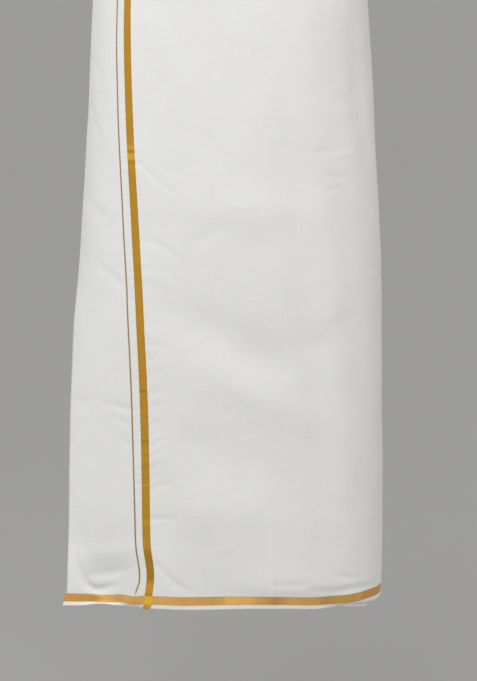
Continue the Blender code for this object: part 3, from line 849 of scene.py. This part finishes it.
# %% A short way to wire a material
class Weave:
    """Wires a node tree: each call adds one or a few nodes and returns the output to go on with."""

    def __init__(self, name):
        self.material = bpy.data.materials.new(name)
        self.material.use_nodes = True
        self.tree = self.material.node_tree
        self.shader = self.tree.nodes["Principled BSDF"]

    def put(self, socket, value):
        """Links an output to a socket, or sets the socket to a plain value."""
        if isinstance(value, bpy.types.NodeSocket):
            self.tree.links.new(value, socket)
        else:
            socket.default_value = value

    def math(self, operation, *values):
        """One arithmetic step."""
        node = self.tree.nodes.new("ShaderNodeMath")
        node.operation = operation
        for socket, value in zip(node.inputs, values):
            self.put(socket, value)
        return node.outputs[0]

    def ramp(self, value, low, high, out_low, out_high, smooth_steps=True):
        """out_low where value is low and out_high where it is high, eased between or straight."""
        node = self.tree.nodes.new("ShaderNodeMapRange")
        if smooth_steps:
            node.interpolation_type = "SMOOTHSTEP"
        for socket, number in zip(node.inputs, (value, low, high, out_low, out_high)):
            self.put(socket, number)
        return node.outputs[0]

    def near(self, value, centre, half_width, soft):
        """1 within half_width of centre, falling to 0 over twice soft at its edge."""
        far = self.math("ABSOLUTE", self.math("SUBTRACT", value, centre))
        return self.ramp(far, half_width + soft, half_width - soft, 0.0, 1.0)

    def band(self, value, centre, width, edge):
        """A band of this width, as far beyond its edge and as soft as the Edge says."""
        return self.near(value, centre, width / 2 + edge.beyond, edge.soft)

    def vary(self, noise, amount, low=0.3, high=0.7):
        """A factor from 1 - amount to 1 + amount as the noise goes from low to high."""
        return self.ramp(noise, low, high, 1 - amount, 1 + amount)

    def mix(self, amount, first, second):
        """The first colour where amount is 0, the second where it is 1."""
        node = self.tree.nodes.new("ShaderNodeMix")
        node.data_type = "RGBA"
        self.put(node.inputs[0], amount)
        for socket, value in ((node.inputs[6], first), (node.inputs[7], second)):
            self.put(socket, (*value, 1.0) if isinstance(value, tuple) else value)
        return node.outputs[2]

    def scale(self, color, amount):
        """A colour times a number."""
        node = self.tree.nodes.new("ShaderNodeVectorMath")
        node.operation = "SCALE"
        self.put(node.inputs[0], color)
        self.put(node.inputs["Scale"], amount)
        return node.outputs[0]

    def noise(self, where, scale, detail=2.0, roughness=0.5):
        """Soft noise with so many marks to the metre."""
        node = self.tree.nodes.new("ShaderNodeTexNoise")
        self.put(node.inputs["Vector"], where)
        node.inputs["Scale"].default_value = scale
        node.inputs["Detail"].default_value = detail
        node.inputs["Roughness"].default_value = roughness
        return node.outputs["Fac"]

    def streaks(self, u, v, along, up, detail=2.0, layer=0.0):
        """Noise drawn out one way: so many marks to the metre along the cloth, and so many up it."""
        node = self.tree.nodes.new("ShaderNodeCombineXYZ")
        stretched = (self.math("MULTIPLY", u, along), self.math("MULTIPLY", v, up), layer)
        for socket, value in zip(node.inputs, stretched):
            self.put(socket, value)
        return self.noise(node.outputs[0], 1.0, detail)

    def bump(self, height, distance, strength=1.0, normal=None):
        """Relief too fine to model, on top of another where one is given."""
        node = self.tree.nodes.new("ShaderNodeBump")
        node.inputs["Strength"].default_value = strength
        node.inputs["Distance"].default_value = distance
        self.put(node.inputs["Height"], height)
        if normal is not None:
            self.put(node.inputs["Normal"], normal)
        return node.outputs[0]

    def uv(self):
        """The place on the flat cloth in metres: both at once, along it, and up from the hem."""
        node = self.tree.nodes.new("ShaderNodeUVMap")
        node.uv_map = "cloth_m"
        split = self.tree.nodes.new("ShaderNodeSeparateXYZ")
        self.put(split.inputs[0], node.outputs[0])
        return node.outputs[0], split.outputs[0], split.outputs[1]

    def finish(self, color, rough, normal, metallic=0.0):
        """Fills the shader, with starch's faint sheen the same all over."""
        self.put(self.shader.inputs["Base Color"], color)
        self.put(self.shader.inputs["Roughness"], rough)
        self.put(self.shader.inputs["Metallic"], metallic)
        self.put(self.shader.inputs["Normal"], normal)
        self.shader.inputs["Sheen Weight"].default_value = 0.20
        self.shader.inputs["Sheen Roughness"].default_value = 0.35
        self.shader.inputs["Specular IOR Level"].default_value = 0.28
        return self.material


# %% Painted light and shade where pressed creases and folds cross the dark band: height of a mark above the hem, its half height and its brightness
PaintedBandShading = namedtuple("PaintedBandShading", "height half brightness")
PAINTED_BAND_SHADING = [
    PaintedBandShading(0.6195, 0.0030, 1.28),
    PaintedBandShading(0.6133, 0.0016, 0.90),
    PaintedBandShading(0.6066, 0.0042, 1.45),
    PaintedBandShading(0.5995, 0.0020, 0.90),
    PaintedBandShading(0.402, 0.0012, 0.94),
    PaintedBandShading(0.295, 0.0014, 0.70),
    PaintedBandShading(0.228, 0.0014, 0.74),
    PaintedBandShading(0.1685, 0.0012, 1.22),
    PaintedBandShading(0.1185, 0.0035, 1.14),
    PaintedBandShading(0.059, 0.0200, 0.80),
    PaintedBandShading(0.029, 0.0080, 1.22),
]


# %% Tone along the hem's gold: how bright it is at a place, which is painted light and shade of the hem's waves and of the crease that crosses it, and how far it turns to orange
HemShadingAndWarmth = namedtuple("HemShadingAndWarmth", "along half brightness warmth")
HEM_SHADING_AND_WARMTH = [
    HemShadingAndWarmth(0.008, 0.010, 1.06, 1.0),
    HemShadingAndWarmth(0.038, 0.006, 0.86, 0.0),
    HemShadingAndWarmth(0.053, 0.010, 1.24, 0.0),
    HemShadingAndWarmth(0.075, 0.014, 1.12, 0.0),
    HemShadingAndWarmth(0.120, 0.014, 1.08, 0.0),
    HemShadingAndWarmth(0.160, 0.008, 1.04, 0.8),
    HemShadingAndWarmth(0.188, 0.014, 0.92, 0.0),
    HemShadingAndWarmth(0.235, 0.020, 1.18, 0.0),
    HemShadingAndWarmth(0.283, 0.010, 0.86, 0.3),
    HemShadingAndWarmth(0.315, 0.014, 1.10, 0.0),
    HemShadingAndWarmth(0.372, 0.028, 0.84, 0.0),
    HemShadingAndWarmth(0.430, 0.024, 0.82, 0.8),
]
HEM_SHADING_SOFT = 0.006


# %% [markdown]
# The white ground comes first. Thread is never quite even: it has slubs, which are short thicker
# stretches, and the bleach leaves it a little cloudy. Both shift the tone by a few hundredths.

# %% Weave the white ground
def plain_weave(w, where, u, v):
    """Colour, roughness, threads and fine relief of the white cloth.

    The threads are sine * sine, two to a wave. The tone is the mean of the clouds and the slubs.
    """
    cloudy = w.noise(where, CLOUDS, 3.0)
    slubs = w.math("ADD", w.streaks(u, v, *SLUBS), w.streaks(u, v, *SLUBS[::-1]))
    slubs = w.math("MULTIPLY", slubs, 0.5)
    tone = w.math("ADD", w.math("MULTIPLY", cloudy, 0.5), w.math("MULTIPLY", slubs, 0.5))
    shade = w.ramp(tone, 0.3, 0.7, 0.0, 1.0, smooth_steps=False)
    color = w.mix(shade, *(tuple(share * c for c in WHITE) for share in WHITE_RANGE))
    rough = w.ramp(tone, 0.3, 0.7, *ROUGHNESS)
    waves = (w.math("SINE", w.math("MULTIPLY", way, math.pi * THREADS)) for way in (u, v))
    threads = w.math("MULTIPLY", *waves)
    normal = w.bump(w.noise(where, CRUMPLES, 3.0, 0.55), CRUMPLE_DEPTH)
    normal = w.bump(slubs, SLUB_DEPTH, normal=normal)
    return color, rough, threads, normal


def weave_white(name):
    """The white ground alone."""
    w = Weave(name)
    where, u, v = w.uv()
    color, rough, threads, normal = plain_weave(w, where, u, v)
    return w.finish(color, rough, w.bump(threads, THREAD_DEPTH, 0.5, normal=normal))


# %% [markdown]
# Each band is a mask: 1 where its threads lie and 0 elsewhere. A little noise frays its edges by a
# fraction of a thread. The upright band drifts a little in the white edge, and the thin line leans
# away from it higher up, because no loom keeps two lines apart exactly. The white threads beside the
# gold look creamier, and the outermost gold threads darker.

# %% Find where the gold lies
GoldPlaces = namedtuple("GoldPlaces", "end upright border thin beside upright_core border_core")


def gold_places(w, where, u, v):
    """The masks, from the distance to the nearer end, min(u, length - u), and to the hem, v."""
    end = w.math("MINIMUM", u, w.math("SUBTRACT", CLOTH_LENGTH, u))
    fray = w.math("MULTIPLY", w.math("SUBTRACT", w.noise(where, FRAYS, 1.0), 0.5), FRAY_WIDTH)
    frayed_end, frayed_hem = w.math("ADD", end, fray), w.math("ADD", v, fray)
    band_end = w.math("ADD", frayed_end, w.ramp(v, 0.0, SELVEDGE, BAND_DRIFT, 0.0))
    thin_end = frayed_end
    for drift in THIN_DRIFTS:
        thin_end = w.math("ADD", thin_end, w.ramp(v, *drift))
    above_border = w.ramp(v, HEM_TOP - 0.001, HEM_TOP + 0.008, 0.0, 1.0)
    thin, beside_thin = (
        w.math("MULTIPLY", w.band(thin_end, THIN_ALONG, THIN_WIDTH, edge), above_border)
        for edge in (THIN_EDGE, CREAM_THIN_EDGE)
    )
    upright, beside_upright, upright_core = (
        w.band(band_end, BAND_ALONG, BAND_WIDTH, edge) for edge in (GOLD_EDGE, CREAM_EDGE, CORE_EDGE)
    )
    border, beside_border, border_core = (
        w.band(frayed_hem, HEM_MIDDLE, HEM_BAND_WIDTH, edge)
        for edge in (GOLD_EDGE, CREAM_HEM_EDGE, CORE_HEM_EDGE)
    )
    beside = w.math("MAXIMUM", beside_upright, w.math("MAXIMUM", beside_thin, beside_border))
    return GoldPlaces(end, upright, border, thin, beside, upright_core, border_core)


# %% Colour the two golds
def upright_gold(w, u, v, core):
    """DARK_GOLD times the painted light and shade where creases cross the band, darker outside its core,
    with streaks up the thread.
    """
    tone = 1.0
    # brighter and darker marks down the band: painted light and shade of the creases that cross it
    for mark in PAINTED_BAND_SHADING:
        place = w.near(v, mark.height, mark.half, 0.0008 + 0.3 * mark.half)
        tone = w.math("ADD", tone, w.math("MULTIPLY", place, mark.brightness - 1.0))
    tone = w.math("MULTIPLY", tone, w.ramp(core, 0.0, 1.0, 0.86, 1.0))
    streaked = w.vary(w.streaks(u, v, *STREAKS[::-1]), 0.07)
    return w.scale(DARK_GOLD, w.math("MULTIPLY", tone, streaked))


def hem_gold(w, u, v, core):
    """Pale or orange gold times the painted light and shade along the hem, with patches and streaks along
    the thread.
    """
    tone, warm = 1.0, 0.0
    # brighter and darker places along the hem: painted light and shade of its waves and of the crease
    # across it
    for mark in HEM_SHADING_AND_WARMTH:
        place = w.near(u, mark.along, mark.half, HEM_SHADING_SOFT)
        tone = w.math("ADD", tone, w.math("MULTIPLY", place, mark.brightness - 1.0))
        warm = w.math("ADD", warm, w.math("MULTIPLY", place, mark.warmth))
    tone = w.math("MULTIPLY", tone, w.ramp(core, 0.0, 1.0, 0.84, 1.0))
    tone = w.math("MULTIPLY", tone, w.vary(w.streaks(u, v, *PATCHES, layer=3.0), 0.05, 0.35, 0.65))
    tone = w.math("MULTIPLY", tone, w.vary(w.streaks(u, v, *STREAKS), 0.06))
    return w.scale(w.mix(warm, PALE_GOLD, ORANGE_GOLD), tone)


# %% [markdown]
# The colours are laid over each other in the order in which the threads cover each other: ground,
# white edges with a painted highlight, thin line, hem band, upright band, and the crossing of the two.
# The gold threads are stiffer than the white ones and draw them in beside them, which shows as fine
# puckers.

# %% Weave the gold in
def weave_gold(name):
    """The white ground with the woven bands at both ends and along the hem."""
    w = Weave(name)
    where, u, v = w.uv()
    color, rough, threads, normal = plain_weave(w, where, u, v)
    at = gold_places(w, where, u, v)
    gold = w.math("MAXIMUM", w.math("MAXIMUM", at.upright, at.border), at.thin)
    # painted highlight: the hem's white edge and the cut end are made paler
    color = w.mix(w.ramp(v, SELVEDGE - 0.0004, SELVEDGE + 0.0004, 1.0, 0.0), color, EDGE_HIGHLIGHT_WHITE)
    color = w.mix(w.near(at.end, 0.0, END_HIGHLIGHT_WIDTH, 0.0006), color, EDGE_HIGHLIGHT_WHITE)
    color = w.mix(w.math("MULTIPLY", at.beside, 0.7), color, CREAM)
    color = w.mix(at.thin, color, THIN_GOLD)
    color = w.mix(at.border, color, hem_gold(w, u, v, at.border_core))
    below_border = w.ramp(v, SELVEDGE - 0.001, SELVEDGE + 0.001, 1.0, 0.0)
    dark = w.mix(below_border, upright_gold(w, u, v, at.upright_core), DULL_GOLD)
    color = w.mix(at.upright, color, dark)
    color = w.mix(w.math("MULTIPLY", at.upright, at.border), color, BRIGHT_GOLD)
    close = w.near(at.end, (BAND_ALONG + THIN_ALONG) / 2, PUCKER_REACH, PUCKER_REACH)
    close = w.math("MULTIPLY", close, w.math("MULTIPLY_ADD", gold, -0.8, 1.0))
    pucker = w.math("MULTIPLY", w.streaks(u, v, *PUCKERS, detail=1.0), close)
    normal = w.bump(pucker, PUCKER_DEPTH, normal=normal)
    raised = w.math("ADD", w.math("MULTIPLY", threads, 0.06), gold)
    normal = w.bump(raised, GOLD_DEPTH, 0.8, normal=normal)
    rough = w.math("MULTIPLY_ADD", gold, -GOLD_SMOOTHER, rough)
    return w.finish(color, rough, normal, metallic=w.math("MULTIPLY", gold, GOLD_METAL))


white_and_gold = weave_gold("white_cotton_with_gold")
plain_white = weave_white("white_cotton_rolled")
wound_cloth.data.materials.append(white_and_gold)
rolled_top.data.materials.append(plain_white)
print("nodes in the gold weave:", len(white_and_gold.node_tree.nodes))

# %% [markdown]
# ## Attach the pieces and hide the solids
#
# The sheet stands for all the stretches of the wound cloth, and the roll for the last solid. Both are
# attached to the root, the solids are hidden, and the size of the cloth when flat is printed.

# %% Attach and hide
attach(wound_cloth, "root")
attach(rolled_top, "root")
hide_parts(*(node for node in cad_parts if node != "waist_roll"))
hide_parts("waist_roll")
print("flat cloth that shows:", CLOTH_LENGTH, "by", HEM_DROP, "m")

# %% [markdown]
# ## Floor and light
#
# A white cloth needs a floor that is pale but darker than itself, or its edges are lost. The light is
# soft and comes mostly from all round. One large lamp at the front left is a little stronger, so the
# right side turns gently into shade.

# %% Floor
FLOOR_GREY = 0.40
FLOOR_DROP = 1.30
FLOOR_REACH = 60.0
FLOOR_SIDES = 96


def make_floor():
    """A wide round floor, far enough below the hem that its shadow stays soft."""
    ring = np.linspace(0, 2 * math.pi, FLOOR_SIDES, endpoint=False)
    corners = np.stack(
        [FLOOR_REACH * np.cos(ring), FLOOR_REACH * np.sin(ring), np.full_like(ring, -FLOOR_DROP)], axis=1
    )
    mesh = bpy.data.meshes.new("floor")
    mesh.from_pydata(corners.tolist(), [], [list(range(len(ring)))])
    floor = bpy.data.objects.new("floor", mesh)
    bpy.context.scene.collection.objects.link(floor)
    paint = bpy.data.materials.new("floor_paint")
    paint.use_nodes = True
    shader = paint.node_tree.nodes["Principled BSDF"]
    shader.inputs["Base Color"].default_value = (FLOOR_GREY, FLOOR_GREY, FLOOR_GREY, 1.0)
    shader.inputs["Roughness"].default_value = 0.9
    shader.inputs["Specular IOR Level"].default_value = 0.1
    mesh.materials.append(paint)
    return floor


floor = make_floor()
print("floor at", round(float(floor.data.vertices[0].co.z), 3), "m")

# %% Light
Lamp = namedtuple("Lamp", "name place size power color")
LAMPS = [
    Lamp("key", (-0.36, -1.65, 1.05), 1.3, 22.0, (1.0, 0.995, 0.985)),
]
LAMP_AIM = (0.0, 0.0, -0.5)
SKY_LEFT = (0.84, 0.84, 0.84)
SKY_RIGHT = (0.750, 0.736, 0.699)


def make_sky():
    """An even pale room, a shade warmer and darker towards the right."""
    world = bpy.data.worlds.new("studio")
    bpy.context.scene.world = world
    world.use_nodes = True
    nodes, links = world.node_tree.nodes, world.node_tree.links
    way = nodes.new("ShaderNodeTexCoord")
    split = nodes.new("ShaderNodeSeparateXYZ")
    blend = nodes.new("ShaderNodeMix")
    blend.data_type = "RGBA"
    blend.inputs[6].default_value = (*SKY_LEFT, 1.0)
    blend.inputs[7].default_value = (*SKY_RIGHT, 1.0)
    share = nodes.new("ShaderNodeMapRange")
    share.inputs["From Min"].default_value = -1.0
    links.new(way.outputs["Generated"], split.inputs[0])
    links.new(split.outputs[0], share.inputs["Value"])
    links.new(share.outputs[0], blend.inputs[0])
    links.new(blend.outputs[2], nodes["Background"].inputs["Color"])


def make_light():
    """Area lamps that face LAMP_AIM, and the room."""
    for lamp in LAMPS:
        data = bpy.data.lights.new(lamp.name, "AREA")
        data.size = lamp.size
        data.energy = lamp.power
        data.color = lamp.color
        light = bpy.data.objects.new(lamp.name, data)
        bpy.context.scene.collection.objects.link(light)
        light.location = lamp.place
        light.visible_camera = False
        toward = np.array(LAMP_AIM) - np.array(lamp.place)
        flat = math.hypot(toward[0], toward[1])
        light.rotation_euler = (math.atan2(flat, -toward[2]), 0.0, math.atan2(-toward[0], toward[1]))
    make_sky()
    bpy.context.scene.view_settings.view_transform = "Standard"


make_light()
print("lamps:", [lamp.name for lamp in LAMPS])
